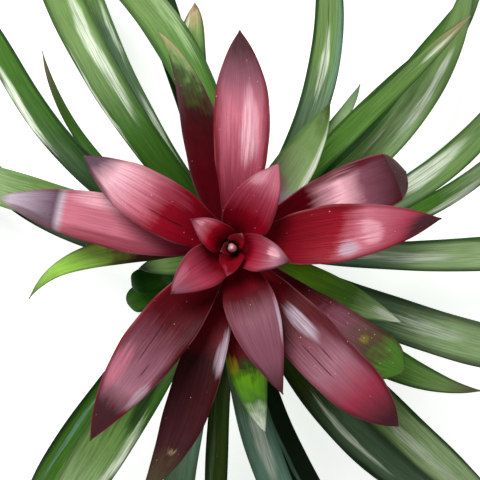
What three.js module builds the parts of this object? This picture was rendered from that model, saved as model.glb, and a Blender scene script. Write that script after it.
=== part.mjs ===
// Scarlet star bromeliad: a whole plant, cut at its base, that stands on the cut.
// Millimetres, +Z up. The plant's axis is the Z axis and the cut face lies on z = 0.
// Every leaf and bract is one thin closed blade. It lies on a surface of revolution
// about the axis, so a blade that starts above its neighbours stays above them.
import * as THREE from "three";

// Driving dimensions: the stem, then the blades
const BASE_RADIUS = 24;
const COLLAR_HEIGHT = 62;
const COLLAR_RADIUS = 7;
const NECK_HEIGHT = 206;
const NECK_RADIUS = 6;
const STALK_TOP = 234;
const STALK_TOP_RADIUS = 2.8;
const STALK_DOME = 1;
const STEM_SIDES = 20;

const SEAT_GAP = 0.5;
const CLASP_ANGLE = 60;
const BRACT_THICKNESS = 0.8;
const LEAF_THICKNESS = 0.9;
const TIP_HALF_WIDTH = 0.5;

const HOOK_POWER = 5;
const CHANNEL_END = 0.8;

const BRACT_TOP = 230;
const BRACT_STEP = 3.6;
const HEART_BRACTS = 4;
const RED_BRACTS = 18;
const LEAF_TOP = 60;
const LEAF_STEP = 2.1;
const TIP_ON_GROUND = 0.5;

const CRIMSON = "#8e1f36";
const BRACT_GREEN = "#6f8f3c";
const LEAF_GREEN = "#3f7031";

const degrees = (angle) => THREE.MathUtils.degToRad(angle);
const mix = THREE.MathUtils.lerp;
const smooth = (t) => THREE.MathUtils.smoothstep(t, 0, 1);

// Radius of the stem's surface at a height: a cone under the leaves, then the
// slender flower stalk, which narrows again under the heart of the star.
function stemRadius(height) {
  if (height < COLLAR_HEIGHT) {
    return mix(BASE_RADIUS, COLLAR_RADIUS, height / COLLAR_HEIGHT);
  }
  if (height < NECK_HEIGHT) {
    const up = (height - COLLAR_HEIGHT) / (NECK_HEIGHT - COLLAR_HEIGHT);
    return mix(COLLAR_RADIUS, NECK_RADIUS, up);
  }
  const up = (height - NECK_HEIGHT) / (STALK_TOP - NECK_HEIGHT);
  return mix(NECK_RADIUS, STALK_TOP_RADIUS, up);
}

// A solid turned about the plant's axis from [radius, height] points
function turned(points, sides) {
  const profile = points.map(([radius, height]) => new THREE.Vector2(radius, height));
  return new THREE.LatheGeometry(profile, sides).rotateX(Math.PI / 2);
}

// The blade's run from root to tip, in the plane of radius and height, as points
// at equal steps. A fold turns what lies beyond it down about the fold's line.
function bladeRun(blade) {
  const rootRadius = stemRadius(blade.root) + SEAT_GAP + blade.thickness / 2;
  const start = new THREE.Vector2(rootRadius, blade.root);
  const end = new THREE.Vector2(blade.reach, blade.tip);
  const chord = start.distanceTo(end);
  const leave = new THREE.Vector2(chord * blade.stiff, 0).rotateAround(
    new THREE.Vector2(),
    degrees(blade.rise),
  );
  const arrive = new THREE.Vector2(chord * blade.arch, 0).rotateAround(
    new THREE.Vector2(),
    degrees(blade.fall),
  );
  const run = new THREE.CubicBezierCurve(
    start,
    start.clone().add(leave),
    end.clone().sub(arrive),
    end,
  );
  const points = run.getSpacedPoints(blade.rows);
  if (blade.fold) {
    const creaseRow = Math.round(blade.fold.at * blade.rows);
    const crease = points[creaseRow].clone();
    points
      .slice(creaseRow + 1)
      .forEach((point) => point.rotateAround(crease, -degrees(blade.fold.by)));
  }
  return points;
}

// Half width at a share t of the run: a neck that clasps the stem, then a strap
// or a lance shape that ends in a point.
function halfWidth(blade, t) {
  const opened = mix(blade.neck, blade.width / 2, smooth(t / blade.widest));
  const sheath = blade.sheath * (1 - smooth(t / blade.clasp));
  const past = Math.max(0, (t - blade.widest) / (1 - blade.widest));
  return Math.max((opened + sheath) * (1 - past ** blade.point), TIP_HALF_WIDTH);
}

// One row of points across the blade, raised by lift towards its inner face. The
// row bends round the axis, rolls to one side and hollows into a channel.
function bladeRow(blade, run, index, lift) {
  const here = run[index];
  const ahead = run[Math.min(index + 1, blade.rows)];
  const behind = run[Math.max(index - 1, 0)];
  const slope = Math.atan2(ahead.y - behind.y, ahead.x - behind.x);
  const t = index / blade.rows;
  const out = here.x / blade.reach;
  const turn = degrees(blade.heading + blade.swing * out + blade.hook * out ** HOOK_POWER);
  const roll = degrees(blade.roll * smooth(t));
  const half = Math.min(halfWidth(blade, t), degrees(CLASP_ANGLE) * here.x);
  const hollow = Math.sin(Math.PI * Math.min(t / CHANNEL_END, 1));
  const channel = blade.channel * half * hollow;
  return Array.from({ length: blade.columns + 1 }, (_, column) => {
    const across = (2 * column) / blade.columns - 1;
    const sideways = half * across * Math.cos(roll);
    const raised = half * across * Math.sin(roll) + channel * across * across + lift;
    const radius = here.x - Math.sin(slope) * raised;
    const angle = turn + sideways / here.x;
    return [
      radius * Math.cos(angle),
      radius * Math.sin(angle),
      here.y + Math.cos(slope) * raised,
    ];
  });
}

// The closed blade: an inner and an outer face split alike, joined round the edge
function bladeGeometry(blade) {
  const run = bladeRun(blade);
  const face = (lift) => run.map((_, index) => bladeRow(blade, run, index, lift));
  const inner = face(blade.thickness / 2);
  const outer = face(-blade.thickness / 2);
  const corners = [];
  const triangle = (a, b, c) => corners.push(...a, ...b, ...c);
  const quad = (a, b, c, d) => {
    triangle(a, b, c);
    triangle(a, c, d);
  };
  const { rows, columns } = blade;
  for (let i = 0; i < rows; i += 1) {
    for (let j = 0; j < columns; j += 1) {
      quad(inner[i][j], inner[i + 1][j], inner[i + 1][j + 1], inner[i][j + 1]);
      triangle(outer[i][j], outer[i + 1][j + 1], outer[i + 1][j]);
      triangle(outer[i][j], outer[i][j + 1], outer[i + 1][j + 1]);
    }
    quad(inner[i][0], outer[i][0], outer[i + 1][0], inner[i + 1][0]);
    quad(inner[i][columns], inner[i + 1][columns], outer[i + 1][columns], outer[i][columns]);
  }
  for (let j = 0; j < columns; j += 1) {
    quad(inner[0][j], inner[0][j + 1], outer[0][j + 1], outer[0][j]);
    quad(inner[rows][j], outer[rows][j], outer[rows][j + 1], inner[rows][j + 1]);
  }
  const geometry = new THREE.BufferGeometry();
  geometry.setAttribute("position", new THREE.Float32BufferAttribute(corners, 3));
  geometry.computeVertexNormals();
  return geometry;
}

const plant = new THREE.Group();
plant.name = "scarlet_star_bromeliad";

function addPiece(name, geometry, color, roughness) {
  const material = new THREE.MeshStandardMaterial({ color, roughness, metalness: 0 });
  const mesh = new THREE.Mesh(geometry, material);
  mesh.name = name;
  plant.add(mesh);
}

// Stem and flower stalk, grown as one
const stemProfile = [
  [0, 0],
  [BASE_RADIUS, 0],
  [COLLAR_RADIUS, COLLAR_HEIGHT],
  [NECK_RADIUS, NECK_HEIGHT],
  [STALK_TOP_RADIUS, STALK_TOP],
  [0, STALK_TOP + STALK_DOME],
];
addPiece("stem", turned(stemProfile, STEM_SIDES), "#7d8a4a", 0.7);

// Flower bud, seated on the stalk's tip in the heart of the star
const BUD_FOOT = STALK_TOP + STALK_DOME + 0.3;
const budProfile = [
  [0, BUD_FOOT],
  [1.7, BUD_FOOT + 1],
  [2.6, BUD_FOOT + 5],
  [2.9, BUD_FOOT + 9],
  [2.2, BUD_FOOT + 13],
  [0.9, BUD_FOOT + 16],
  [0, BUD_FOOT + 16.6],
];
addPiece("flower_bud", turned(budProfile, 10), "#e8a9b4", 0.5);

// What a row of a blade says, in degrees and millimetres. heading is the way the
// root faces, swing how far the blade veers by its tip, and hook a late veer at the
// tip. reach and tip are the tip's radius and height. rise and fall are the slopes
// at root and tip, and stiff and arch how long each holds. neck and sheath are half
// widths at the root. widest and clasp are shares of the length, point sets how
// blunt the tip is, and channel is the depth of the hollow per half width.
const bladeForm = {
  swing: 0,
  hook: 0,
  roll: 0,
  stiff: 0.4,
  arch: 0.4,
  point: 2,
  clasp: 0.3,
  neck: 8,
  sheath: 0,
  columns: 4,
};

// Bracts of the star, from the heart outwards. Each sits lower on the stalk than
// the one before and about 138 degrees further round. The last three are green.
const bractForm = {
  ...bladeForm,
  widest: 0.52,
  neck: 7,
  rows: 9,
  thickness: BRACT_THICKNESS,
};
const bracts = [
  { heading: 195, reach: 7, tip: 254, rise: 88, fall: 62, width: 13 },
  { heading: 55, reach: 11, tip: 255, rise: 87, fall: 55, width: 15 },
  { heading: 278, swing: -18, reach: 17.5, tip: 255, rise: 86, fall: 36, width: 19 },
  { heading: 142, hook: 3, reach: 31, tip: 258, rise: 84, fall: 14, width: 22 },
  { heading: 350, swing: -3, reach: 37, tip: 258, rise: 83, fall: 10, width: 27 },
  { heading: 214, hook: 3, reach: 47, tip: 258, rise: 82, fall: 6, width: 31 },
  { heading: 66, swing: -5, reach: 59, tip: 262, rise: 80, fall: 14, width: 34 },
  { heading: 287.6, swing: 0.6, hook: 1, reach: 97, tip: 244, rise: 76, fall: -24, width: 35, point: 1.35 },
  { heading: 149.5, hook: -1.5, reach: 108, tip: 252, rise: 72, fall: 0, width: 36, point: 2.5 },
  { heading: 8, reach: 132, tip: 246, rise: 68, fall: -8, width: 37 },
  { heading: 229.1, swing: 3, hook: 1.5, reach: 151, tip: 238, rise: 65, fall: -14, width: 38 },
  {
    heading: 82,
    swing: 6,
    reach: 137,
    tip: 240,
    rise: 63,
    fall: -10,
    width: 36,
    widest: 0.62,
    point: 2.3,
  },
  { heading: 307, swing: 6, reach: 156, tip: 226, rise: 60, fall: -20, width: 37, point: 4 },
  {
    heading: 167,
    swing: 1,
    reach: 177,
    tip: 228,
    rise: 58,
    fall: -16,
    width: 36,
    widest: 0.42,
    point: 1.55,
    fold: { at: 0.67, by: 34 },
  },
  {
    heading: 27,
    swing: -4,
    reach: 146,
    tip: 206,
    rise: 56,
    fall: -22,
    width: 37,
    widest: 0.6,
    point: 3,
    fold: { at: 0.78, by: 50 },
  },
  { heading: 256.6, swing: -3, hook: -4, reach: 176, tip: 190, rise: 54, fall: -34, width: 30 },
  {
    heading: 106,
    swing: -3,
    hook: 6,
    reach: 150,
    tip: 206,
    rise: 52,
    fall: -18,
    width: 29,
    widest: 0.38,
    point: 1.6,
  },
  {
    heading: 318,
    swing: 6,
    reach: 140,
    tip: 198,
    rise: 50,
    fall: -26,
    width: 34,
    widest: 0.75,
    point: 4,
  },
  { heading: 178.5, swing: 5.7, hook: 10, reach: 140, tip: 192, rise: 48, fall: -32, width: 17, neck: 4 },
  { heading: 49, swing: 5.8, hook: 1.2, reach: 115, tip: 204, rise: 47, fall: -8, width: 28 },
  { heading: 275, swing: 3, hook: 2, reach: 126, tip: 184, rise: 45, fall: -34, width: 27 },
];

// Two leafy bracts on the bare part of the stalk, under the star
const stalkLeafForm = {
  ...bladeForm,
  widest: 0.5,
  channel: 0.15,
  rows: 10,
  thickness: LEAF_THICKNESS,
};
const stalkLeaves = [
  { heading: 335, swing: 1, reach: 125, tip: 176, rise: 50, fall: -22, width: 24, root: 148 },
  { heading: 318, swing: 8, hook: 4, reach: 203, tip: 140, rise: 48, fall: -30, width: 25, root: 138 },
];

// Leaves of the rosette, from the innermost outwards, each lower on the cone of the
// stem. The outer ones arch down until their tips touch the ground.
const leafForm = {
  ...bladeForm,
  stiff: 0.5,
  arch: 0.45,
  widest: 0.55,
  point: 2.4,
  clasp: 0.2,
  neck: 9,
  sheath: 6,
  channel: 0.18,
  rows: 11,
  thickness: LEAF_THICKNESS,
};
const INNER_LEAF_SLOPES = { rise: 80, fall: -38 };
const OUTER_LEAF_SLOPES = { rise: 62, fall: -50 };
const leaves = [
  { heading: 133.7, swing: -13, reach: 300, tip: 70, width: 29, roll: 6, widest: 0.8 },
  { heading: 4, swing: 32, reach: 300, tip: 60, width: 22, roll: -8 },
  { heading: 235.8, swing: 2, reach: 300, tip: 52, width: 37, roll: 8 },
  { heading: 91, swing: 30, reach: 300, tip: 46, width: 29, roll: -10 },
  { heading: 310, swing: 5.5, reach: 320, tip: 40, width: 29, roll: 6 },
  { heading: 167.5, swing: -40.5, hook: 10, reach: 310, tip: 36, width: 21, roll: 12 },
  { heading: 46, swing: -1.8, reach: 247, tip: 90, width: 17, roll: 14 },
  { heading: 269, swing: 19, reach: 300, tip: 26, width: 26, roll: 8 },
  { heading: 114, swing: -15, reach: 184, tip: 90, width: 23, roll: -10, point: 5 },
  { heading: 332, swing: 10, reach: 310, tip: 20, width: 33, roll: -8 },
  { heading: 197, swing: -4, reach: 71, tip: 104, width: 22 },
  { heading: 47.8, swing: 31.7, reach: 300, tip: 18, width: 24, roll: 12 },
  { heading: 292, swing: 20, reach: 300, tip: 14, width: 29, roll: -10 },
  { heading: 168, swing: -4, reach: 290, tip: 12, width: 28, roll: -6 },
  { heading: 22, swing: 28, reach: 300, tip: 14, width: 26, roll: 10 },
  { heading: 252, swing: 8, reach: 290, tip: 8, width: 24, roll: 8 },
  { heading: 133, swing: -17, reach: 300, tip: 4, width: 27 },
  {
    heading: 354,
    swing: 7,
    reach: 300,
    tip: TIP_ON_GROUND,
    width: 26,
    roll: 6,
    widest: 0.65,
    neck: 6,
    sheath: 3,
  },
  { heading: 190, swing: -40, reach: 290, tip: TIP_ON_GROUND, width: 22, roll: 8 },
  { heading: 47, swing: 3, hook: 2, reach: 156, tip: 74, width: 13 },
  { heading: 274, swing: 20, reach: 300, tip: TIP_ON_GROUND, width: 26, roll: -8 },
  { heading: 164, swing: -29.6, reach: 214.5, tip: 40, width: 9, roll: -10 },
  { heading: 36, swing: 11, reach: 300, tip: TIP_ON_GROUND, width: 26 },
  { heading: 355.8, swing: 32, reach: 300, tip: TIP_ON_GROUND, width: 16, roll: 8 },
  { heading: 227, swing: 6, reach: 300, tip: TIP_ON_GROUND, width: 28, roll: 8 },
  { heading: 105.5, swing: 2, reach: 290, tip: TIP_ON_GROUND, width: 24 },
  { heading: 201, reach: 86, tip: 34, fall: -80, width: 22, point: 5 },
  { heading: 263.3, swing: 4, reach: 290, tip: TIP_ON_GROUND, width: 17, roll: -8, neck: 6, sheath: 3 },
  { heading: 209, reach: 98, tip: 4, fall: -80, width: 22, point: 5 },
];

const numbered = (word, rank) => `${word}_${String(rank + 1).padStart(2, "0")}`;

bracts.forEach((row, rank) => {
  const blade = {
    ...bractForm,
    root: BRACT_TOP - BRACT_STEP * rank,
    channel: rank < HEART_BRACTS ? 0 : 0.08,
    ...row,
  };
  const color = rank < RED_BRACTS ? CRIMSON : BRACT_GREEN;
  addPiece(numbered("bract", rank), bladeGeometry(blade), color, 0.4);
});

stalkLeaves.forEach((row, rank) => {
  const blade = { ...stalkLeafForm, ...row };
  addPiece(numbered("stalk_leaf", rank), bladeGeometry(blade), BRACT_GREEN, 0.45);
});

leaves.forEach((row, rank) => {
  const share = rank / (leaves.length - 1);
  const blade = {
    ...leafForm,
    root: LEAF_TOP - LEAF_STEP * rank,
    rise: mix(INNER_LEAF_SLOPES.rise, OUTER_LEAF_SLOPES.rise, share),
    fall: mix(INNER_LEAF_SLOPES.fall, OUTER_LEAF_SLOPES.fall, share),
    ...row,
  };
  addPiece(numbered("leaf", rank), bladeGeometry(blade), LEAF_GREEN, 0.45);
});

export default plant;
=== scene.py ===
# Looks of a scarlet star bromeliad, cut at its base and standing on the cut.
# Sizes are millimetres in the plant's own frame, as in its solids, with +Z up.
# Each finished mesh is written in metres.
import math

import bpy
import numpy as np
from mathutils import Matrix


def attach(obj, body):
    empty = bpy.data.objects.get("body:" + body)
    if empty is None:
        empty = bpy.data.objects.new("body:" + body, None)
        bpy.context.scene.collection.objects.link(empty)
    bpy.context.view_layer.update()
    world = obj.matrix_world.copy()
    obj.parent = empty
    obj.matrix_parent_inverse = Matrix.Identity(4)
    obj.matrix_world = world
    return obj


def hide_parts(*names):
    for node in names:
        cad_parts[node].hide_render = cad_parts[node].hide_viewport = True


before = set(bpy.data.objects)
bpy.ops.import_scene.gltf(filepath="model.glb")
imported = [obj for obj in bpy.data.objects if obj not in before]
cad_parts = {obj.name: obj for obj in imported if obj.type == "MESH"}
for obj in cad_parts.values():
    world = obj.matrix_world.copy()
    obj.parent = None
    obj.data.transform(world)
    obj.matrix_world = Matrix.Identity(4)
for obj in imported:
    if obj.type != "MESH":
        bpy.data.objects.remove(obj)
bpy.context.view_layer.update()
METRE = 0.001


# STEM
# The short thick stem under the rosette and the slender flower stalk grew as one.
# Its foot is cut straight across, and old leaf scars run round it as low rings.
BASE_RADIUS = 24
COLLAR_HEIGHT = 62
COLLAR_RADIUS = 7
NECK_HEIGHT = 206
NECK_RADIUS = 6
STALK_TOP = 234
STALK_TOP_RADIUS = 2.8
STALK_DOME = 1
SCAR_STEP = 4.2
SCAR_DEPTH = 0.35


def linear(colour):
    """A hex colour as the linear red, green, blue and alpha that shaders take."""
    parts = [int(colour[i : i + 2], 16) / 255 for i in (1, 3, 5)]
    return [((p + 0.055) / 1.055) ** 2.4 if p > 0.04045 else p / 12.92 for p in parts] + [1.0]


class Signal:
    """A socket in a material's node tree. Arithmetic on it adds Math nodes."""

    def __init__(self, tree, socket=None):
        self.tree = tree
        self.socket = socket

    def node(self, kind, settings, inputs, output=0):
        """Adds a node: its type, its settings, then the values or links of its sockets."""
        made = self.tree.nodes.new("ShaderNode" + kind)
        for name, value in settings.items():
            if name == "stops":
                made.color_ramp.elements.remove(made.color_ramp.elements[1])
                for index, (place, colour) in enumerate(value):
                    if index:
                        made.color_ramp.elements.new(place)
                    made.color_ramp.elements[index].position = place
                    made.color_ramp.elements[index].color = linear(colour)
            else:
                setattr(made, name, value)
        for name, value in inputs.items():
            if isinstance(value, Signal):
                self.tree.links.new(value.socket, made.inputs[name])
            else:
                made.inputs[name].default_value = value
        return Signal(self.tree, made.outputs[output])

    def math(self, operation, *values):
        return self.node("Math", {"operation": operation}, dict(enumerate(values)))

    def __add__(self, other):
        return self.math("ADD", self, other)

    def __sub__(self, other):
        return self.math("SUBTRACT", self, other)

    def __rsub__(self, other):
        return self.math("SUBTRACT", other, self)

    def __mul__(self, other):
        return self.math("MULTIPLY", self, other)

    def __truediv__(self, other):
        return self.math("DIVIDE", self, other)

    def __pow__(self, other):
        return self.math("POWER", self, other)

    def __abs__(self):
        return self.math("ABSOLUTE", self)

    __radd__ = __add__
    __rmul__ = __mul__

    def rise(self, low, high):
        """0 at low and 1 at high, smooth between them. low may be the greater."""
        edges = {"Value": self, "From Min": low, "From Max": high}
        return self.node("MapRange", {"interpolation_type": "SMOOTHSTEP"}, edges)

    def over(self, colour, mask):
        """This colour with another laid over it where the mask is 1."""
        if isinstance(colour, str):
            colour = linear(colour)
        layers = {0: mask, 6: self, 7: colour}
        return self.node("Mix", {"data_type": "RGBA", "clamp_factor": True}, layers, 2)

    def scaled(self, amount):
        """This colour made darker or lighter."""
        return self.node("VectorMath", {"operation": "SCALE"}, {0: self, "Scale": amount})

    def noise(self, scale, detail=2.0):
        """Cloudy values round 0.5, in this vector's space."""
        inputs = {"Vector": self, "Scale": scale, "Detail": detail}
        return self.node("TexNoise", {}, inputs)


def new_finish(name, **constants):
    """A material, its shader and the start of its nodes."""
    material = bpy.data.materials.new(name)
    material.use_nodes = True
    shader = material.node_tree.nodes["Principled BSDF"]
    for socket, value in constants.items():
        shader.inputs[socket.replace("_", " ")].default_value = value
    return material, shader, Signal(material.node_tree)


def feed(shader, **signals):
    """Links worked-out signals to the shader's sockets."""
    for socket, signal in signals.items():
        signal.tree.links.new(signal.socket, shader.inputs[socket.replace("_", " ")])


def relief(height, depth):
    """The normal of a surface raised by height times depth millimetres."""
    return height.node("Bump", {}, {"Height": height, "Distance": depth * METRE, "Strength": 1.0})


def add_piece(name, points, faces, material):
    """A smooth mesh piece, from points in millimetres."""
    mesh = bpy.data.meshes.new(name)
    mesh.from_pydata((np.asarray(points) * METRE).tolist(), [], faces)
    mesh.shade_smooth()
    mesh.materials.append(material)
    piece = bpy.data.objects.new(name, mesh)
    bpy.context.scene.collection.objects.link(piece)
    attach(piece, "root")
    return piece


def turned(profile, sides, ripple=None):
    """Points and faces of a solid turned about the plant's axis."""
    points = []
    for radius, height in profile:
        for side in range(sides):
            angle = 2 * math.pi * side / sides
            reach = radius + (ripple(angle, height) if ripple else 0)
            points.append((reach * math.cos(angle), reach * math.sin(angle), height))
    faces = []
    for ring in range(len(profile) - 1):
        for side in range(sides):
            after = (side + 1) % sides
            low, high = ring * sides, (ring + 1) * sides
            faces.append((low + side, low + after, high + after, high + side))
    last = (len(profile) - 1) * sides
    faces.append(tuple(reversed(range(sides))))
    faces.append(tuple(range(last, last + sides)))
    return points, faces


def stem_radius(height):
    heights = (0, COLLAR_HEIGHT, NECK_HEIGHT, STALK_TOP)
    return float(np.interp(height, heights, (BASE_RADIUS, COLLAR_RADIUS, NECK_RADIUS, STALK_TOP_RADIUS)))


def stem_finish():
    material, shader, nodes = new_finish("stem_green", Roughness=0.6)
    place = nodes.node("TexCoord", {}, {}, "Object")
    height = nodes.node("SeparateXYZ", {}, {0: place}, "Z") / METRE
    fibres = nodes.node("Mapping", {}, {"Vector": place, "Scale": (1, 1, 0.08)}).noise(900)
    blotches = place.noise(120)
    stops = [(0.0, "#a79a6b"), (0.25, "#8d9455"), (0.7, "#7d8f48"), (1.0, "#6d7f3c")]
    colour = nodes.node("ValToRGB", {"stops": stops}, {0: height / STALK_TOP + (blotches - 0.5) * 0.2})
    colour = colour.over("#6b5234", (fibres - 0.55) * 1.5 * height.rise(70, 20))
    cut = height.rise(0.8, 0.2)
    colour = colour.over("#cfc39a", cut)
    feed(shader, Base_Color=colour, Roughness=0.5 + fibres * 0.2, Normal=relief(fibres, 0.3))
    return material


def stem_profile():
    profile = [(0.5, 0), (BASE_RADIUS - 1, 0), (BASE_RADIUS, 0.8)]
    height = SCAR_STEP
    while height < COLLAR_HEIGHT:
        radius = stem_radius(height)
        profile.append((radius - SCAR_DEPTH, height - SCAR_DEPTH))
        profile.append((radius, height + SCAR_DEPTH))
        height += SCAR_STEP
    for height in (COLLAR_HEIGHT, 90, 130, 170, NECK_HEIGHT, 220, STALK_TOP):
        profile.append((stem_radius(height), height))
    profile.append((0.4, STALK_TOP + STALK_DOME))
    return profile


stem_points, stem_faces = turned(stem_profile(), 56)
stem = add_piece("stem_skin", stem_points, stem_faces, stem_finish())
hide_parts("stem")


# ROSETTE LEAVES
# Long green straps, stiff and waxy, that clasp the thick stem and arch out and down.
# Each is hollowed along its length, with fine parallel veins, a soft grey bloom and pale streaks of painted
# highlight.
SEAT_GAP = 0.5
CLASP_ANGLE = math.radians(60)
LEAF_THICKNESS = 0.9
MARGIN_THICKNESS = 0.4
TIP_HALF_WIDTH = 0.5
TIP_ON_GROUND = 0.5
LEAF_TOP = 60
LEAF_STEP = 2.1
HOOK_POWER = 5
CHANNEL_END = 0.8
RUN_STEPS = 88
CROSS_STEPS = 16


def smooth(share):
    share = np.clip(share, 0, 1)
    return share * share * (3 - 2 * share)


def blade_run(blade):
    """Radius and height at equal steps from root to tip, and the whole length."""
    start = np.array([stem_radius(blade["root"]) + SEAT_GAP + blade["thickness"] / 2, blade["root"]])
    end = np.array([blade["reach"], blade["tip"]])
    chord = np.linalg.norm(end - start)
    rise, fall = math.radians(blade["rise"]), math.radians(blade["fall"])
    leave = start + chord * blade["stiff"] * np.array([math.cos(rise), math.sin(rise)])
    arrive = end - chord * blade["arch"] * np.array([math.cos(fall), math.sin(fall)])
    share = np.linspace(0, 1, 400)[:, None]
    back = 1 - share
    curve = back**3 * start + 3 * back**2 * share * leave + 3 * back * share**2 * arrive + share**3 * end
    walked = np.concatenate([[0], np.cumsum(np.linalg.norm(np.diff(curve, axis=0), axis=1))])
    stops = np.linspace(0, walked[-1], RUN_STEPS + 1)
    run = np.column_stack([np.interp(stops, walked, curve[:, k]) for k in (0, 1)])
    if "fold" in blade:
        crease = round(blade["fold"]["at"] * RUN_STEPS)
        turn = -math.radians(blade["fold"]["by"])
        spin = np.array([[math.cos(turn), math.sin(turn)], [-math.sin(turn), math.cos(turn)]])
        run[crease + 1 :] = (run[crease + 1 :] - run[crease]) @ spin + run[crease]
    return run, walked[-1]


def half_widths(blade, along):
    opened = blade["neck"] + (blade["width"] / 2 - blade["neck"]) * smooth(along / blade["widest"])
    sheath = blade["sheath"] * (1 - smooth(along / blade["clasp"]))
    past = np.maximum(0, (along - blade["widest"]) / (1 - blade["widest"]))
    return np.maximum((opened + sheath) * (1 - past ** blade["point"]), TIP_HALF_WIDTH)


def blade_face(blade, run, seed, lift):
    """Rows of points of one face, raised by lift at mid width and less at the margins."""
    draw = np.random.default_rng(seed)
    along = np.linspace(0, 1, RUN_STEPS + 1)[:, None]
    across = np.linspace(-1, 1, CROSS_STEPS + 1)[None, :]
    across = np.sign(across) * np.abs(across) ** 0.85
    radius, height = run[:, :1], run[:, 1:]
    climb = np.gradient(run, axis=0)
    slope = np.arctan2(climb[:, 1:], climb[:, :1])
    out = radius / blade["reach"]
    turn = np.radians(blade["heading"] + blade["swing"] * out + blade["hook"] * out**HOOK_POWER)
    roll = np.radians(blade["roll"] * smooth(along))
    half = np.minimum(half_widths(blade, along), CLASP_ANGLE * radius)
    phase = draw.uniform(0, 2 * math.pi, 3)
    ripple = sum(np.sin(along * turns + phase[k]) for k, turns in enumerate((14, 23, 37)))
    half = half * (1 + 0.008 * ripple)
    hollow = np.sin(np.pi * np.minimum(along / CHANNEL_END, 1))
    wave = 0.35 * smooth(along * 3) * np.sin(along * 19 + phase[1] + across * 1.3) * across**2
    thin = (MARGIN_THICKNESS + (blade["thickness"] - MARGIN_THICKNESS) * (1 - across**4)) / blade["thickness"]
    raised = half * across * np.sin(roll) + blade["channel"] * half * hollow * across**2
    raised = raised + wave + lift * thin
    angle = turn + half * across * np.cos(roll) / radius
    spread = radius - np.sin(slope) * raised
    rows = np.stack([spread * np.cos(angle), spread * np.sin(angle), height + np.cos(slope) * raised], axis=-1)
    return rows.reshape(-1, 3)


def blade_faces():
    """The faces of a closed blade, and each corner's place on the flat bake map."""
    wide, tall = CROSS_STEPS, RUN_STEPS
    under = (wide + 1) * (tall + 1)

    def point(row, column):
        return row * (wide + 1) + column

    def spot(row, column, left):
        return left + 0.47 * column / wide, 0.01 + 0.98 * row / tall

    faces, places = [], []
    for row in range(tall):
        for column in range(wide):
            ring = [(row, column), (row, column + 1), (row + 1, column + 1), (row + 1, column)]
            faces.append([point(*corner) for corner in reversed(ring)])
            places.extend(spot(*corner, 0.015) for corner in reversed(ring))
            faces.append([under + point(*corner) for corner in ring])
            places.extend(spot(*corner, 0.515) for corner in ring)
    edge = [(0, column) for column in range(wide)]
    edge += [(row, wide) for row in range(tall)]
    edge += [(tall, column) for column in range(wide, 0, -1)]
    edge += [(row, 0) for row in range(tall, 0, -1)]
    for here, ahead in zip(edge, edge[1:] + edge[:1]):
        faces.append([point(*here), point(*ahead), under + point(*ahead), under + point(*here)])
        for corner, out in ((here, 0), (ahead, 0), (ahead, 1), (here, 1)):
            u, v = spot(*corner, 0.015)
            u += out * 0.008 * ((corner[1] == wide) - (corner[1] == 0))
            v += out * 0.006 * ((corner[0] == tall) - (corner[0] == 0))
            places.append((u, v))
    return faces, places


BLADE_FACES, BLADE_PLACES = blade_faces()


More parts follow.
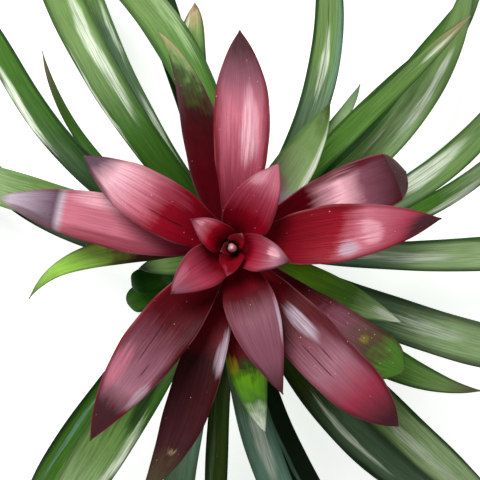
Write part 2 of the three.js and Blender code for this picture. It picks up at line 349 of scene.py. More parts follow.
def blade_finish(name, blade, length):
    """Colour zones along the blade, sheens of painted highlight and shade, fibres, creases, specks and margins.
    """
    material, shader, nodes = new_finish(name, Specular_IOR_Level=blade["gloss"])
    along = nodes.node("Attribute", {"attribute_name": "along"}, {}, "Fac")
    across = nodes.node("Attribute", {"attribute_name": "across"}, {}, "Fac")
    underside = nodes.node("Attribute", {"attribute_name": "underside"}, {}, "Fac")
    x = across * (blade["width"] / 2)
    y = along * length
    shift = blade["seed"] * 7.3

    def streaks(across_scale, along_scale):
        """Cloudy values drawn out along the blade, closing in with its margins."""
        inputs = {"X": x * across_scale, "Y": y * along_scale, "Z": shift}
        return nodes.node("CombineXYZ", {}, inputs).noise(1.0)

    broad = streaks(0.16, 0.025)
    fine = streaks(1.0, 0.035)
    hair = streaks(2.2, 0.07)
    blotch = streaks(0.13, 0.13)
    grain = streaks(1.1, 1.1)
    ragged = (fine - 0.5) * 0.1 + (hair - 0.5) * 0.05 + (grain - 0.5) * 0.02
    drawn = along + ragged * blade["ragged"]
    zone = drawn - across * blade["slant"] + (blotch - 0.5) * blade["blotchy"]
    colour = nodes.node("ValToRGB", {"stops": blade["zones"]}, {0: zone})

    side = abs(across)
    # The rim is painted shade, darkening the margins where they turn away from the light.
    colour = colour.over(blade["rim"], side.rise(blade["rim_from"], 1.0) * blade["rim_strength"])
    # Sheens: mostly painted highlights and painted shade laid into the colour, with a few of the plant's own
    # marks.
    aside = across + (broad - 0.5) * 0.5
    streaky = (fine * 0.6 + hair * 0.4).rise(0.35, 0.6) * 0.45 + 0.55
    for sheen, at, off, long, wide, strength in blade["sheens"]:
        apart = ((drawn - at) / long) ** 2 + ((aside - off) / wide) ** 2
        colour = colour.over(sheen, apart.rise(1.0, 0.1) * streaky * strength)
    colour = colour.scaled(1 - blade["fibre"] / 2 + fine.rise(0.3, 0.7) * blade["fibre"])
    colour = colour.scaled(0.92 + grain * 0.16)
    colour = colour.over(blade["crease"], hair.rise(0.6, 0.75) * blade["fibre"])

    height = fine * 0.6 + hair * 0.4
    # Each crease is a groove in the bump, with painted shade darkened along its line.
    for off, begins, ends in blade["creases"]:
        bent = across - off + (broad - 0.5) * 0.15
        line = abs(bent).rise(0.035, 0.0) * along.rise(begins, begins + 0.04) * along.rise(ends, ends - 0.04)
        colour = colour.over(blade["crease"], line * 0.7)
        height = height - line

    cells = {"Vector": nodes.node("CombineXYZ", {}, {"X": x, "Y": y, "Z": shift}), "Scale": 0.35}
    near = nodes.node("TexVoronoi", {}, cells, "Distance")
    chosen = nodes.node("SeparateXYZ", {}, {0: nodes.node("TexVoronoi", {}, cells, "Color")}, 0)
    spot = near.rise(0.16, 0.08) * chosen.rise(1 - blade["specks"], 1.02 - blade["specks"])
    colour = colour.over(blade["speck"], spot * 0.8)

    # A thin pale line at the margins: partly their own paler tone, partly painted edge highlight.
    broken = broad.rise(0.4, 0.6) * blade["margin_strength"]
    colour = colour.over(blade["margin"], side.rise(0.93, 0.98) * broken)
    colour = colour.over(blade["dry"], along.rise(0.985, 1.0) * 0.8)
    colour = colour.scaled((colour.node("RGBToBW", {}, {0: colour}) * 3) ** 0.12 * 1.1)
    colour = colour.over(blade["beneath"], underside * 0.75)
    feed(shader, Base_Color=colour, Roughness=blade["rough"] + (broad - 0.5) * 0.15 + hair * 0.08)
    feed(shader, Normal=relief(height, 0.3))
    return material


def add_blade(node, blade):
    """One blade piece, in place of its solid."""
    run, length = blade_run(blade)
    inner = blade_face(blade, run, blade["seed"], blade["thickness"] / 2)
    outer = blade_face(blade, run, blade["seed"], -blade["thickness"] / 2)
    material = blade_finish(node + "_finish", blade, length)
    piece = add_piece(node + "_blade", np.vstack([inner, outer]), BLADE_FACES, material)
    along = np.repeat(np.linspace(0, 1, RUN_STEPS + 1), CROSS_STEPS + 1)
    across = np.tile(np.linspace(-1, 1, CROSS_STEPS + 1), RUN_STEPS + 1)
    across = np.sign(across) * np.abs(across) ** 0.85
    values = {
        "along": np.tile(along, 2),
        "across": np.tile(across, 2),
        "underside": np.repeat([0.0, 1.0], along.size),
    }
    for name, value in values.items():
        layer = piece.data.attributes.new(name, "FLOAT", "POINT")
        layer.data.foreach_set("value", value.astype(np.float32))
    bake_map = piece.data.uv_layers.new(name="OFBake")
    bake_map.data.foreach_set("uv", np.array(BLADE_PLACES, np.float32).ravel())
    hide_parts(node)


LEAF_FORM = dict(
    swing=0, hook=0, roll=0, stiff=0.5, arch=0.45, widest=0.55, point=2.4, clasp=0.2,
    neck=9, sheath=6, channel=0.18, thickness=LEAF_THICKNESS,
)
LEAVES = [
    dict(heading=133.7, swing=-13, reach=300, tip=70, width=29, roll=6, widest=0.8),
    dict(heading=4, swing=32, reach=300, tip=60, width=22, roll=-8),
    dict(heading=235.8, swing=2, reach=300, tip=52, width=37, roll=8),
    dict(heading=91, swing=30, reach=300, tip=46, width=29, roll=-10),
    dict(heading=310, swing=5.5, reach=320, tip=40, width=29, roll=6),
    dict(heading=167.5, swing=-40.5, hook=10, reach=310, tip=36, width=21, roll=12),
    dict(heading=46, swing=-1.8, reach=247, tip=90, width=17, roll=14),
    dict(heading=269, swing=19, reach=300, tip=26, width=26, roll=8),
    dict(heading=114, swing=-15, reach=184, tip=90, width=23, roll=-10, point=5),
    dict(heading=332, swing=10, reach=310, tip=20, width=33, roll=-8),
    dict(heading=197, swing=-4, reach=71, tip=104, width=22),
    dict(heading=47.8, swing=31.7, reach=300, tip=18, width=24, roll=12),
    dict(heading=292, swing=20, reach=300, tip=14, width=29, roll=-10),
    dict(heading=168, swing=-4, reach=290, tip=12, width=28, roll=-6),
    dict(heading=22, swing=28, reach=300, tip=14, width=26, roll=10),
    dict(heading=252, swing=8, reach=290, tip=8, width=24, roll=8),
    dict(heading=133, swing=-17, reach=300, tip=4, width=27),
    dict(heading=354, swing=7, reach=300, tip=TIP_ON_GROUND, width=26, roll=6, widest=0.65, neck=6, sheath=3),
    dict(heading=190, swing=-40, reach=290, tip=TIP_ON_GROUND, width=22, roll=8),
    dict(heading=47, swing=3, hook=2, reach=156, tip=74, width=13),
    dict(heading=274, swing=20, reach=300, tip=TIP_ON_GROUND, width=26, roll=-8),
    dict(heading=164, swing=-29.6, reach=214.5, tip=40, width=9, roll=-10),
    dict(heading=36, swing=11, reach=300, tip=TIP_ON_GROUND, width=26),
    dict(heading=355.8, swing=32, reach=300, tip=TIP_ON_GROUND, width=16, roll=8),
    dict(heading=227, swing=6, reach=300, tip=TIP_ON_GROUND, width=28, roll=8),
    dict(heading=105.5, swing=2, reach=290, tip=TIP_ON_GROUND, width=24),
    dict(heading=201, reach=86, tip=34, fall=-80, width=22, point=5),
    dict(heading=263.3, swing=4, reach=290, tip=TIP_ON_GROUND, width=17, roll=-8, neck=6, sheath=3),
    dict(heading=209, reach=98, tip=4, fall=-80, width=22, point=5),
]
INNER_LEAF_SLOPES = (80, -38)
OUTER_LEAF_SLOPES = (62, -50)

# What a look says. zones are colours at shares of the length. slant and blotchy lean
# and break the borders between them. Each sheen is a colour, its place along and
# across, its half length and half width, and its strength. Most sheens are painted
# light: pale ones are painted highlights, partly the blades' own pale bloom, and dark
# ones are painted shade at the margins and under neighbouring blades, partly the
# margins' own darker colour. A few are the plant's own marks, such as a pale scar, dry
# flecks, a yellow spot and mottles. Each crease is a place across and where it begins
# and ends, and its line is darkened with painted shade. rim darkens the margins with
# painted shade where they turn away from the light.
LEAF_LOOK = dict(
    gloss=0.14, rough=0.4, fibre=0.3, slant=0.0, blotchy=0.04, ragged=0.8,
    rim="#1c4410", rim_from=0.6, rim_strength=0.75,
    sheens=[], creases=[], crease="#1d3f1c",
    speck="#9db684", specks=0.02,
    margin="#6a8a50", margin_strength=0.25,
    dry="#8a7a55", beneath="#4c7448",
)
# Greens and dry tones of the leaves, from the shaded throat to the frosted points. The frost
# colour also paints highlights, and the darkest greens also paint shade at the margins and
# under neighbouring blades. The stalk leaves and the star use them too.
NIGHT_GREEN = "#0e2208"
DEEP_GREEN = "#1c4210"
OLIVE_GREEN = "#3a5018"
LEAF_GREEN = "#3a661c"
FRESH_GREEN = "#548430"
LIME_GREEN = "#68a818"
SOFT_GREEN = "#709050"
GREY_GREEN = "#5c7858"
BLUE_GREEN = "#6c927c"
PALE_GREEN = "#98b47e"
FROST_AND_HIGHLIGHT = "#dce6d0"
STRAW = "#b09a72"
DRY_BROWN = "#624e3e"
LEAF_LOOKS = [
    dict(zones=[(0, DEEP_GREEN), (0.4, LEAF_GREEN), (0.6, SOFT_GREEN)], rim=DEEP_GREEN,
         sheens=[(FROST_AND_HIGHLIGHT, 0.6, -0.3, 0.2, 0.4, 0.8), (FROST_AND_HIGHLIGHT, 0.5, 0.9, 0.15, 0.1, 0.6)]),
    dict(zones=[(0, DEEP_GREEN), (0.4, GREY_GREEN), (0.55, SOFT_GREEN), (1, GREY_GREEN)],
         rim=DEEP_GREEN, rim_from=0.7, sheens=[(FROST_AND_HIGHLIGHT, 0.5, 0.3, 0.15, 0.6, 0.9)]),
    dict(zones=[(0, DEEP_GREEN), (0.45, LEAF_GREEN), (0.6, SOFT_GREEN), (0.75, PALE_GREEN)],
         rim_from=0.75,
         sheens=[(NIGHT_GREEN, 0.45, 0.5, 0.1, 0.3, 0.9), (FROST_AND_HIGHLIGHT, 0.6, 0.8, 0.15, 0.2, 0.7)]),
    dict(zones=[(0, LEAF_GREEN), (0.5, FRESH_GREEN), (0.6, SOFT_GREEN)],
         rim=DEEP_GREEN, rim_from=0.55, sheens=[(PALE_GREEN, 0.6, -0.6, 0.15, 0.4, 0.8)]),
    dict(zones=[(0, FRESH_GREEN), (0.5, SOFT_GREEN), (0.65, PALE_GREEN)],
         rim=DEEP_GREEN, rim_from=0.7, rim_strength=0.9,
         sheens=[(DEEP_GREEN, 0.6, 1, 0.3, 0.2, 0.9), (FROST_AND_HIGHLIGHT, 0.65, -0.2, 0.15, 0.4, 0.5)]),
    dict(zones=[(0, NIGHT_GREEN), (0.4, DEEP_GREEN), (0.55, LEAF_GREEN), (1, FRESH_GREEN)],
         rim=NIGHT_GREEN,
         sheens=[(FROST_AND_HIGHLIGHT, 0.6, 0.7, 0.15, 0.3, 0.95), (DEEP_GREEN, 0.6, -1, 0.3, 0.25, 0.8)]),
    dict(zones=[(0, DEEP_GREEN), (0.4, LEAF_GREEN), (0.5, FRESH_GREEN), (0.8, SOFT_GREEN), (1, STRAW)],
         sheens=[(FROST_AND_HIGHLIGHT, 0.85, -0.2, 0.1, 0.4, 0.7), (DEEP_GREEN, 0.7, 0.8, 0.15, 0.25, 0.8)]),
    dict(zones=[(0, DEEP_GREEN), (0.4, GREY_GREEN), (0.45, BLUE_GREEN)],
         rim=DEEP_GREEN, rim_strength=0.5, sheens=[(FROST_AND_HIGHLIGHT, 0.5, 0, 0.1, 0.5, 0.6)]),
    dict(zones=[(0, DEEP_GREEN), (0.6, LEAF_GREEN), (0.85, SOFT_GREEN), (0.95, STRAW), (1, DRY_BROWN)],
         blotchy=0.1, sheens=[(FROST_AND_HIGHLIGHT, 0.9, 0.5, 0.05, 0.25, 0.7)]),
    dict(zones=[(0, DEEP_GREEN), (0.4, GREY_GREEN), (0.55, PALE_GREEN), (1, SOFT_GREEN)],
         rim=NIGHT_GREEN, rim_from=0.5, sheens=[(FROST_AND_HIGHLIGHT, 0.5, 0.1, 0.1, 0.4, 0.6)]),
    dict(zones=[(0, DEEP_GREEN), (0.5, FRESH_GREEN), (0.8, SOFT_GREEN), (0.95, NIGHT_GREEN)],
         rim=NIGHT_GREEN, rim_strength=0.6, sheens=[(NIGHT_GREEN, 0.5, -1, 0.5, 0.5, 0.9)]),
    dict(zones=[(0, OLIVE_GREEN), (0.4, GREY_GREEN), (0.5, SOFT_GREEN)],
         rim=DEEP_GREEN, rim_from=0.6, rim_strength=0.9, creases=[(0.05, 0.4, 0.65)],
         sheens=[(BLUE_GREEN, 0.55, -0.75, 0.15, 0.35, 0.8), (FROST_AND_HIGHLIGHT, 0.5, 0, 0.1, 0.3, 0.8),
                 (DEEP_GREEN, 0.55, 1, 0.25, 0.3, 0.8)]),
    dict(zones=[(0, NIGHT_GREEN), (0.4, OLIVE_GREEN), (0.5, GREY_GREEN)],
         rim=NIGHT_GREEN, rim_from=0.5,
         sheens=[(FROST_AND_HIGHLIGHT, 0.55, -0.3, 0.15, 0.2, 0.9), (NIGHT_GREEN, 0.6, -1, 0.2, 0.25, 0.8)]),
    dict(zones=[(0, FRESH_GREEN), (0.5, SOFT_GREEN), (0.65, PALE_GREEN)],
         rim=FRESH_GREEN, rim_strength=0.5),
    dict(zones=[(0, DEEP_GREEN), (0.4, SOFT_GREEN), (0.5, PALE_GREEN), (0.7, SOFT_GREEN)],
         rim=LEAF_GREEN, rim_from=0.65,
         sheens=[(FROST_AND_HIGHLIGHT, 0.6, -0.3, 0.15, 0.3, 0.9), (LEAF_GREEN, 0.6, 0.6, 0.15, 0.3, 0.7),
                 (FROST_AND_HIGHLIGHT, 0.43, 0.5, 0.035, 0.1, 1)]),
    dict(zones=[(0, DEEP_GREEN), (0.45, BLUE_GREEN), (0.6, GREY_GREEN)],
         rim=DEEP_GREEN, rim_strength=0.5),
    dict(zones=[(0, OLIVE_GREEN), (0.35, GREY_GREEN), (0.6, GREY_GREEN), (0.7, SOFT_GREEN)],
         rim=LEAF_GREEN, rim_from=0.75,
         sheens=[(FROST_AND_HIGHLIGHT, 0.35, -0.7, 0.1, 0.2, 0.7), (FROST_AND_HIGHLIGHT, 0.6, -0.7, 0.1, 0.2, 0.7)]),
    dict(zones=[(0, LEAF_GREEN), (0.3, BLUE_GREEN), (0.45, PALE_GREEN)],
         rim=DEEP_GREEN, rim_from=0.6, rim_strength=0.9,
         sheens=[(FROST_AND_HIGHLIGHT, 0.4, -0.1, 0.15, 0.4, 0.9), (LEAF_GREEN, 0.5, 1, 0.3, 0.3, 0.8)]),
    dict(zones=[(0, NIGHT_GREEN), (0.5, DEEP_GREEN), (1, LEAF_GREEN)], rim=NIGHT_GREEN),
    dict(zones=[(0, FRESH_GREEN), (0.8, PALE_GREEN), (1, GREY_GREEN)], rim=LEAF_GREEN),
    dict(zones=[(0, DEEP_GREEN), (0.6, NIGHT_GREEN), (1, DEEP_GREEN)],
         rim=NIGHT_GREEN, rim_from=0.45, rim_strength=0.9, sheens=[(BLUE_GREEN, 0.5, -0.1, 0.15, 0.15, 0.9)]),
    dict(zones=[(0, DEEP_GREEN), (0.6, LEAF_GREEN), (0.8, OLIVE_GREEN), (0.95, DRY_BROWN)], blotchy=0.1),
    dict(zones=[(0, NIGHT_GREEN), (0.45, DEEP_GREEN), (0.65, FRESH_GREEN)], rim=DEEP_GREEN),
    dict(zones=[(0, LEAF_GREEN), (0.5, FRESH_GREEN), (0.6, PALE_GREEN)],
         rim=DEEP_GREEN, rim_from=0.6, sheens=[(FROST_AND_HIGHLIGHT, 0.55, -0.6, 0.1, 0.4, 0.8)]),
    dict(zones=[(0, DEEP_GREEN), (0.45, LEAF_GREEN), (1, FRESH_GREEN)],
         rim=NIGHT_GREEN, rim_from=0.55, rim_strength=0.95,
         sheens=[(BLUE_GREEN, 0.6, -0.35, 0.2, 0.15, 0.9), (LIME_GREEN, 0.6, 0.35, 0.2, 0.2, 0.7)]),
    dict(zones=[(0, NIGHT_GREEN), (1, DEEP_GREEN)], rim=NIGHT_GREEN),
    dict(zones=[(0, OLIVE_GREEN), (0.55, LEAF_GREEN), (0.8, DEEP_GREEN)],
         gloss=0.02, rim=DEEP_GREEN, sheens=[(GREY_GREEN, 0.6, 0.4, 0.05, 0.5, 0.6)]),
    dict(zones=[(0, NIGHT_GREEN), (0.4, OLIVE_GREEN)],
         rim=NIGHT_GREEN, sheens=[(GREY_GREEN, 0.5, -0.4, 0.15, 0.2, 0.7)]),
    dict(zones=[(0, DEEP_GREEN), (0.5, LEAF_GREEN), (0.9, LEAF_GREEN), (1, DEEP_GREEN)],
         gloss=0.02, rim=DEEP_GREEN),
]

for rank, (row, look) in enumerate(zip(LEAVES, LEAF_LOOKS)):
    share = rank / (len(LEAVES) - 1)
    rise, fall = (a + (b - a) * share for a, b in zip(INNER_LEAF_SLOPES, OUTER_LEAF_SLOPES))
    leaf = dict(root=LEAF_TOP - LEAF_STEP * rank, rise=rise, fall=fall, seed=100 + rank)
    add_blade(f"leaf_{rank + 1:02d}", {**LEAF_FORM, **leaf, **row, **LEAF_LOOK, **look})


# STALK LEAVES
# Two leafy bracts on the bare part of the flower stalk, green and softer than the
# rosette's straps, with a pale point that has begun to dry.
STALK_LEAF_FORM = dict(LEAF_FORM, stiff=0.4, arch=0.4, channel=0.15, widest=0.5, point=2)
STALK_LEAF_FORM.update(clasp=0.3, neck=8, sheath=0)
STALK_LEAVES = [
    dict(heading=335, swing=1, reach=125, tip=176, rise=50, fall=-22, width=24, root=148),
    dict(heading=318, swing=8, hook=4, reach=203, tip=140, rise=48, fall=-30, width=25, root=138),
]
STALK_LEAF_LOOK = dict(LEAF_LOOK, rim="#4c7c20", rim_strength=0.6, dry="#9a8a78", blotchy=0.06)
STALK_LEAF_LOOKS = [
    dict(zones=[(0, LEAF_GREEN), (0.4, LIME_GREEN), (0.7, FRESH_GREEN), (0.85, PALE_GREEN),
                (1, FROST_AND_HIGHLIGHT)],
         sheens=[(FROST_AND_HIGHLIGHT, 0.9, 0.3, 0.1, 0.5, 0.7), (LEAF_GREEN, 0.9, -1, 0.1, 0.4, 0.7)]),
    dict(zones=[(0, LEAF_GREEN), (0.65, FRESH_GREEN), (0.85, SOFT_GREEN), (1, DRY_BROWN)],
         rim=DEEP_GREEN, rim_strength=0.9),
]

for rank, (row, look) in enumerate(zip(STALK_LEAVES, STALK_LEAF_LOOKS)):
    leaf = {**STALK_LEAF_FORM, **row, **STALK_LEAF_LOOK, **look, "seed": 200 + rank}
    add_blade(f"stalk_leaf_{rank + 1:02d}", leaf)


# STAR BRACTS
# Leathery wine-red leaves round the heart, glossy with wax. They are deep crimson
# where they stand up, rose and mauve over the arch, and purple brown at the point.
# The pale pinks over the arch are partly their own colour and partly painted highlight.
BRACT_TOP = 230
BRACT_STEP = 3.6
HEART_BRACTS = 4
BRACT_FORM = dict(
    swing=0, hook=0, roll=0, stiff=0.4, arch=0.4, widest=0.52, point=2, clasp=0.3,
    neck=7, sheath=0, thickness=0.8,
)
BRACTS = [
    dict(heading=195, reach=7, tip=254, rise=88, fall=62, width=13),
    dict(heading=55, reach=11, tip=255, rise=87, fall=55, width=15),
    dict(heading=278, swing=-18, reach=17.5, tip=255, rise=86, fall=36, width=19),
    dict(heading=142, hook=3, reach=31, tip=258, rise=84, fall=14, width=22),
    dict(heading=350, swing=-3, reach=37, tip=258, rise=83, fall=10, width=27),
    dict(heading=214, hook=3, reach=47, tip=258, rise=82, fall=6, width=31),
    dict(heading=66, swing=-5, reach=59, tip=262, rise=80, fall=14, width=34),
    dict(heading=287.6, swing=0.6, hook=1, reach=97, tip=244, rise=76, fall=-24, width=35, point=1.35),
    dict(heading=149.5, hook=-1.5, reach=108, tip=252, rise=72, fall=0, width=36, point=2.5),
    dict(heading=8, reach=132, tip=246, rise=68, fall=-8, width=37),
    dict(heading=229.1, swing=3, hook=1.5, reach=151, tip=238, rise=65, fall=-14, width=38),
    dict(heading=82, swing=6, reach=137, tip=240, rise=63, fall=-10, width=36, widest=0.62, point=2.3),
    dict(heading=307, swing=6, reach=156, tip=226, rise=60, fall=-20, width=37, point=4),
    dict(heading=167, swing=1, reach=177, tip=228, rise=58, fall=-16, width=36, widest=0.42, point=1.55,
         fold=dict(at=0.67, by=34)),
    dict(heading=27, swing=-4, reach=146, tip=206, rise=56, fall=-22, width=37, widest=0.6, point=3,
         fold=dict(at=0.78, by=50)),
    dict(heading=256.6, swing=-3, hook=-4, reach=176, tip=190, rise=54, fall=-34, width=30),
    dict(heading=106, swing=-3, hook=6, reach=150, tip=206, rise=52, fall=-18, width=29, widest=0.38,
         point=1.6),
    dict(heading=318, swing=6, reach=140, tip=198, rise=50, fall=-26, width=34, widest=0.75, point=4),
    dict(heading=178.5, swing=5.7, hook=10, reach=140, tip=192, rise=48, fall=-32, width=17, neck=4),
    dict(heading=49, swing=5.8, hook=1.2, reach=115, tip=204, rise=47, fall=-8, width=28),
    dict(heading=275, swing=3, hook=2, reach=126, tip=184, rise=45, fall=-34, width=27),
]
BRACT_LOOK = dict(
    gloss=0.12, rough=0.38, fibre=0.22, slant=0.0, blotchy=0.04, ragged=0.7,
    rim="#6a0418", rim_from=0.7, rim_strength=0.55,
    sheens=[], creases=[], crease="#40081a",
    speck="#e8b0b8", specks=0.06,
    margin="#b87a88", margin_strength=0.3,
    dry="#7c4a54", beneath="#7a3440",
)
# Reds of the star, from the shaded heart to the pink arch and the brown points. The palest
# pinks and the lilac also paint highlights, and the darkest reds also paint shade along the
# margins and under neighbouring blades.
NIGHT_RED = "#400408"
DARK_WINE = "#5c0612"
WINE = "#7c0a1a"
CRIMSON = "#9a0a22"
BRIGHT_CRIMSON = "#c40a2c"
ROSE = "#a83a50"
MAUVE = "#885060"
DUSKY_PINK = "#a87080"
PINK = "#cc7486"
PALE_PINK = "#eeb4c0"
LILAC = "#bcaab8"
PLUM = "#6a5060"
PURPLE_BROWN = "#50282e"
OLIVE_BROWN = "#5e5038"
YELLOW = "#b8b018"
BRIGHT_GREEN = "#98cc50"
BRACT_LOOKS = [
    dict(zones=[(0, CRIMSON), (0.9, WINE), (1, ROSE)], margin_strength=0),
    dict(zones=[(0, CRIMSON), (0.5, BRIGHT_CRIMSON), (0.9, CRIMSON), (1, PINK)], margin_strength=0),
    dict(zones=[(0, WINE), (0.5, CRIMSON), (0.9, WINE), (1, ROSE)],
         margin_strength=0, sheens=[(ROSE, 0.85, -0.6, 0.1, 0.4, 0.6)]),
    dict(zones=[(0, WINE), (0.4, CRIMSON), (0.65, BRIGHT_CRIMSON), (0.85, PINK), (1, WINE)],
         margin_strength=0.1, sheens=[(PALE_PINK, 0.88, -0.2, 0.08, 0.4, 0.6)]),
    dict(zones=[(0, WINE), (0.45, CRIMSON), (0.65, ROSE), (0.85, DUSKY_PINK), (1, DARK_WINE)],
         margin_strength=0.1,
         sheens=[(PALE_PINK, 0.8, 0.25, 0.1, 0.6, 0.8), (NIGHT_RED, 0.9, -1, 0.25, 0.4, 0.9)]),
    dict(zones=[(0, BRIGHT_CRIMSON), (0.45, WINE), (0.7, ROSE), (0.95, MAUVE), (1, DARK_WINE)],
         margin_strength=0.1, sheens=[(PINK, 0.85, -0.4, 0.15, 0.5, 0.5)]),
    dict(zones=[(0, CRIMSON), (0.5, CRIMSON), (0.7, ROSE), (0.85, PINK)],
         rim_strength=0.35, margin_strength=0.1,
         sheens=[(WINE, 0.6, -1, 0.25, 0.3, 0.7), (PALE_PINK, 0.85, 0.5, 0.1, 0.5, 0.6)], specks=0.2),
    dict(zones=[(0, YELLOW), (0.15, CRIMSON), (0.4, DARK_WINE), (0.55, MAUVE), (0.8, MAUVE),
                (1, PURPLE_BROWN)],
         sheens=[(LILAC, 0.6, 1, 0.15, 0.2, 0.9), (PURPLE_BROWN, 0.85, -1, 0.15, 0.4, 0.8)]),
    dict(zones=[(0, WINE), (0.5, CRIMSON), (0.65, PINK), (0.82, PALE_PINK), (0.93, PLUM)],
         slant=0.03, rim=WINE, creases=[(0.3, 0.35, 0.6)],
         sheens=[(ROSE, 0.5, -0.5, 0.15, 0.35, 0.7), (PURPLE_BROWN, 0.9, 1, 0.15, 0.5, 0.8)], specks=0.1),
    dict(zones=[(0, BRIGHT_CRIMSON), (0.3, WINE), (0.55, CRIMSON), (0.65, PINK), (0.85, ROSE),
                (0.9, PURPLE_BROWN)],
         slant=0.06, rim=WINE, rim_strength=0.7,
         sheens=[(LILAC, 0.6, -0.6, 0.06, 0.35, 0.8), (PALE_PINK, 0.7, -0.1, 0.06, 0.6, 0.6),
                 (WINE, 0.6, 1, 0.1, 0.35, 0.7)]),
    dict(zones=[(0, CRIMSON), (0.35, DARK_WINE), (0.45, DARK_WINE), (0.6, MAUVE), (0.75, DUSKY_PINK),
                (0.85, PURPLE_BROWN)],
         rim=WINE, rim_strength=0.85, creases=[(-0.1, 0.45, 0.65), (0.3, 0.6, 0.7)],
         sheens=[(NIGHT_RED, 0.5, 1, 0.25, 0.4, 0.9), (PINK, 0.7, -0.6, 0.12, 0.4, 0.7),
                 (LILAC, 0.75, 0.8, 0.08, 0.3, 0.6)]),
    dict(zones=[(0, CRIMSON), (0.3, ROSE), (0.65, PINK), (0.82, MAUVE), (0.92, PURPLE_BROWN)],
         rim=WINE, rim_from=0.75,
         sheens=[(PALE_PINK, 0.6, -0.25, 0.2, 0.4, 1), (PINK, 0.65, 0.5, 0.1, 0.25, 0.8),
                 (WINE, 0.55, 1, 0.35, 0.3, 0.85), (WINE, 0.55, -1, 0.3, 0.3, 0.85)]),
    dict(zones=[(0, BRIGHT_CRIMSON), (0.35, DARK_WINE), (0.45, DARK_WINE), (0.65, DUSKY_PINK), (0.8, ROSE),
                (0.95, PURPLE_BROWN)],
         rim=DARK_WINE, creases=[(-0.3, 0.5, 0.7), (0.1, 0.55, 0.65)],
         sheens=[(DARK_WINE, 0.55, 1, 0.4, 0.5, 0.95), (LILAC, 0.45, 0.2, 0.12, 0.3, 0.9)]),
    # The thin lilac band at the fold is a painted highlight along the fold's edge.
    dict(zones=[(0, CRIMSON), (0.25, ROSE), (0.45, PINK), (0.63, PINK), (0.65, LILAC), (0.67, PLUM),
                (0.9, LILAC), (1, SOFT_GREEN)],
         ragged=0.06, blotchy=0,
         sheens=[(WINE, 0.5, 0.75, 0.2, 0.35, 0.7), (PALE_PINK, 0.5, -0.7, 0.15, 0.45, 0.8),
                 (PURPLE_BROWN, 0.8, 0.7, 0.15, 0.5, 0.7)]),
    # The purple brown past the fold is partly the brown point and partly painted shade on the turned-down tip.
    dict(zones=[(0, DARK_WINE), (0.4, DARK_WINE), (0.55, PALE_PINK), (0.65, MAUVE), (0.8, PURPLE_BROWN)],
         slant=0.03, ragged=0.5, gloss=0.02, sheens=[(DARK_WINE, 0.6, 1, 0.2, 0.5, 0.9)]),
    dict(zones=[(0, NIGHT_RED), (0.35, WINE), (0.45, NIGHT_RED), (0.75, PURPLE_BROWN), (0.9, OLIVE_BROWN)],
         rim=NIGHT_RED, blotchy=0.12,
         sheens=[(LILAC, 0.4, 0.85, 0.1, 0.3, 1), (STRAW, 0.78, 0.1, 0.015, 0.3, 0.7)], specks=0.12),
    dict(zones=[(0, WINE), (0.4, DARK_WINE), (0.62, NIGHT_RED), (0.75, OLIVE_GREEN), (0.85, SOFT_GREEN),
                (1, STRAW)],
         rim=PURPLE_BROWN, slant=0.06, blotchy=0.25,
         sheens=[(PURPLE_BROWN, 0.65, -1, 0.12, 0.35, 0.85), (PURPLE_BROWN, 0.7, 1, 0.15, 0.45, 0.9)]),
    dict(zones=[(0, WINE), (0.5, DARK_WINE), (0.6, MAUVE), (0.8, OLIVE_BROWN), (0.9, FRESH_GREEN)],
         rim=NIGHT_RED, blotchy=0.2,
         sheens=[(DUSKY_PINK, 0.5, -0.2, 0.15, 0.12, 0.8), (YELLOW, 0.75, 0.3, 0.03, 0.2, 0.35)],
         specks=0.2),
    dict(zones=[(0, WINE), (0.3, PURPLE_BROWN), (0.45, OLIVE_BROWN), (0.6, BRIGHT_GREEN), (0.8, BRIGHT_GREEN),
                (1, SOFT_GREEN)],
         rim=LEAF_GREEN, margin=DRY_BROWN, blotchy=0.22, sheens=[(PURPLE_BROWN, 0.5, 0.9, 0.12, 0.35, 0.8)]),
    dict(zones=[(0, DUSKY_PINK), (0.42, LILAC), (0.5, PALE_GREEN), (0.8, SOFT_GREEN), (1, OLIVE_GREEN)],
         rim=FRESH_GREEN, margin=SOFT_GREEN, blotchy=0.15,
         sheens=[(FROST_AND_HIGHLIGHT, 0.7, -1, 0.25, 0.4, 0.9), (LEAF_GREEN, 0.8, 1, 0.2, 0.4, 0.8),
                 (DUSKY_PINK, 0.48, 0.2, 0.07, 0.5, 0.6)]),
    dict(zones=[(0, DARK_WINE), (0.57, WINE), (0.63, OLIVE_GREEN), (0.7, LIME_GREEN), (0.8, FRESH_GREEN),
                (0.95, FROST_AND_HIGHLIGHT)],
         rim=LEAF_GREEN, margin=GREY_GREEN, blotchy=0.15, sheens=[(YELLOW, 0.62, -0.8, 0.06, 0.45, 0.7)]),
]

for rank, (row, look) in enumerate(zip(BRACTS, BRACT_LOOKS)):
    channel = 0 if rank < HEART_BRACTS else 0.08
    bract = dict(root=BRACT_TOP - BRACT_STEP * rank, channel=channel, seed=300 + rank)
    add_blade(f"bract_{rank + 1:02d}", {**BRACT_FORM, **bract, **row, **BRACT_LOOK, **look})


# FLOWER BUD
# One small bud in the heart of the star: a few waxy petals still rolled together,
# pale pink, seated on the tip of the stalk.
BUD_FOOT = STALK_TOP + STALK_DOME + 0.3
BUD_OUTLINE = [(0.3, 0.0), (1.7, 1), (2.6, 5), (2.9, 9), (2.2, 13), (0.9, 16), (0.15, 16.6)]


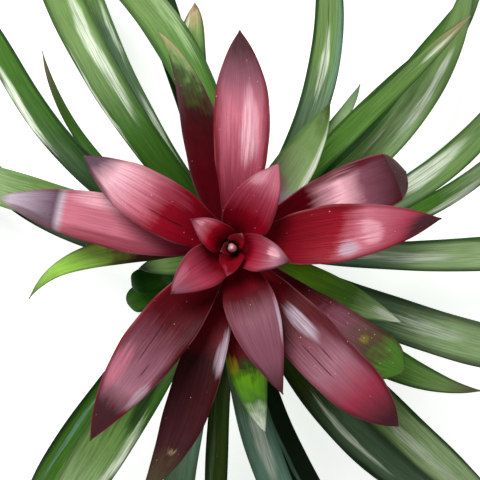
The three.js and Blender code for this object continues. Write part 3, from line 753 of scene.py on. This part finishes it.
def bud_finish():
    material, shader, nodes = new_finish("bud_pink", Roughness=0.4, Coat_Weight=0.2)
    place = nodes.node("TexCoord", {}, {}, "Object")
    height = nodes.node("SeparateXYZ", {}, {0: place}, "Z") / METRE
    blotches = place.noise(600)
    stops = [(0.0, "#7a2036"), (0.5, "#c87088"), (1.0, "#f0b8c4")]
    colour = nodes.node("ValToRGB", {"stops": stops}, {0: (height - BUD_FOOT) / 16 + (blotches - 0.5) * 0.2})
    feed(shader, Base_Color=colour, Normal=relief(blotches, 0.1))
    return material


def bud_profile():
    heights = np.linspace(0, BUD_OUTLINE[-1][1], 30)
    radii = np.interp(heights, [h for _, h in BUD_OUTLINE], [r for r, _ in BUD_OUTLINE])
    return [(radius, BUD_FOOT + height) for radius, height in zip(radii, heights)]


def petal_edges(angle, height):
    rise = (height - BUD_FOOT) / BUD_OUTLINE[-1][1]
    return 0.18 * math.sin(3 * angle + 4 * rise) * math.sin(math.pi * rise)


bud_points, bud_faces = turned(bud_profile(), 36, petal_edges)
bud = add_piece("bud_petals", bud_points, bud_faces, bud_finish())
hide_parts("flower_bud")


# STUDIO
# A plain pale floor under the cut base, one wide soft light high up towards +Y and
# a little towards -X, and a camera that looks straight down on the star.
FLOOR_SIZE = 6.0
CAMERA_HEIGHT = 1.045
CAMERA_ASIDE = 0.005
CAMERA_LENS = 96


def add_floor():
    material, shader, nodes = new_finish("pale_floor", Roughness=0.9, Emission_Strength=0.7)
    shader.inputs["Base Color"].default_value = (0.86, 0.86, 0.86, 1)
    shader.inputs["Emission Color"].default_value = (1, 1, 1, 1)
    half = FLOOR_SIZE / 2
    mesh = bpy.data.meshes.new("floor")
    mesh.from_pydata([(-half, -half, 0), (half, -half, 0), (half, half, 0), (-half, half, 0)], [], [(0, 1, 2, 3)])
    mesh.materials.append(material)
    floor = bpy.data.objects.new("floor", mesh)
    bpy.context.scene.collection.objects.link(floor)


def add_light(name, place, size, energy):
    light = bpy.data.lights.new(name, "AREA")
    light.shape = "DISK"
    light.size = size
    light.energy = energy
    lamp = bpy.data.objects.new(name, light)
    lamp.location = place
    lamp.rotation_euler = (-lamp.location).to_track_quat("-Z", "Y").to_euler()
    bpy.context.scene.collection.objects.link(lamp)


def add_camera():
    camera = bpy.data.objects.new("camera", bpy.data.cameras.new("camera"))
    camera.data.lens = CAMERA_LENS
    camera.location = (CAMERA_ASIDE, CAMERA_ASIDE, CAMERA_HEIGHT)
    bpy.context.scene.collection.objects.link(camera)
    bpy.context.scene.camera = camera


add_floor()
add_light("window", (-0.5, 0.95, 1.7), 1.0, 32)
add_camera()
world = bpy.data.worlds.new("studio")
world.use_nodes = True
world.node_tree.nodes["Background"].inputs["Color"].default_value = (1, 1, 1, 1)
world.node_tree.nodes["Background"].inputs["Strength"].default_value = 0.27
bpy.context.scene.world = world
bpy.context.scene.view_settings.view_transform = "Standard"
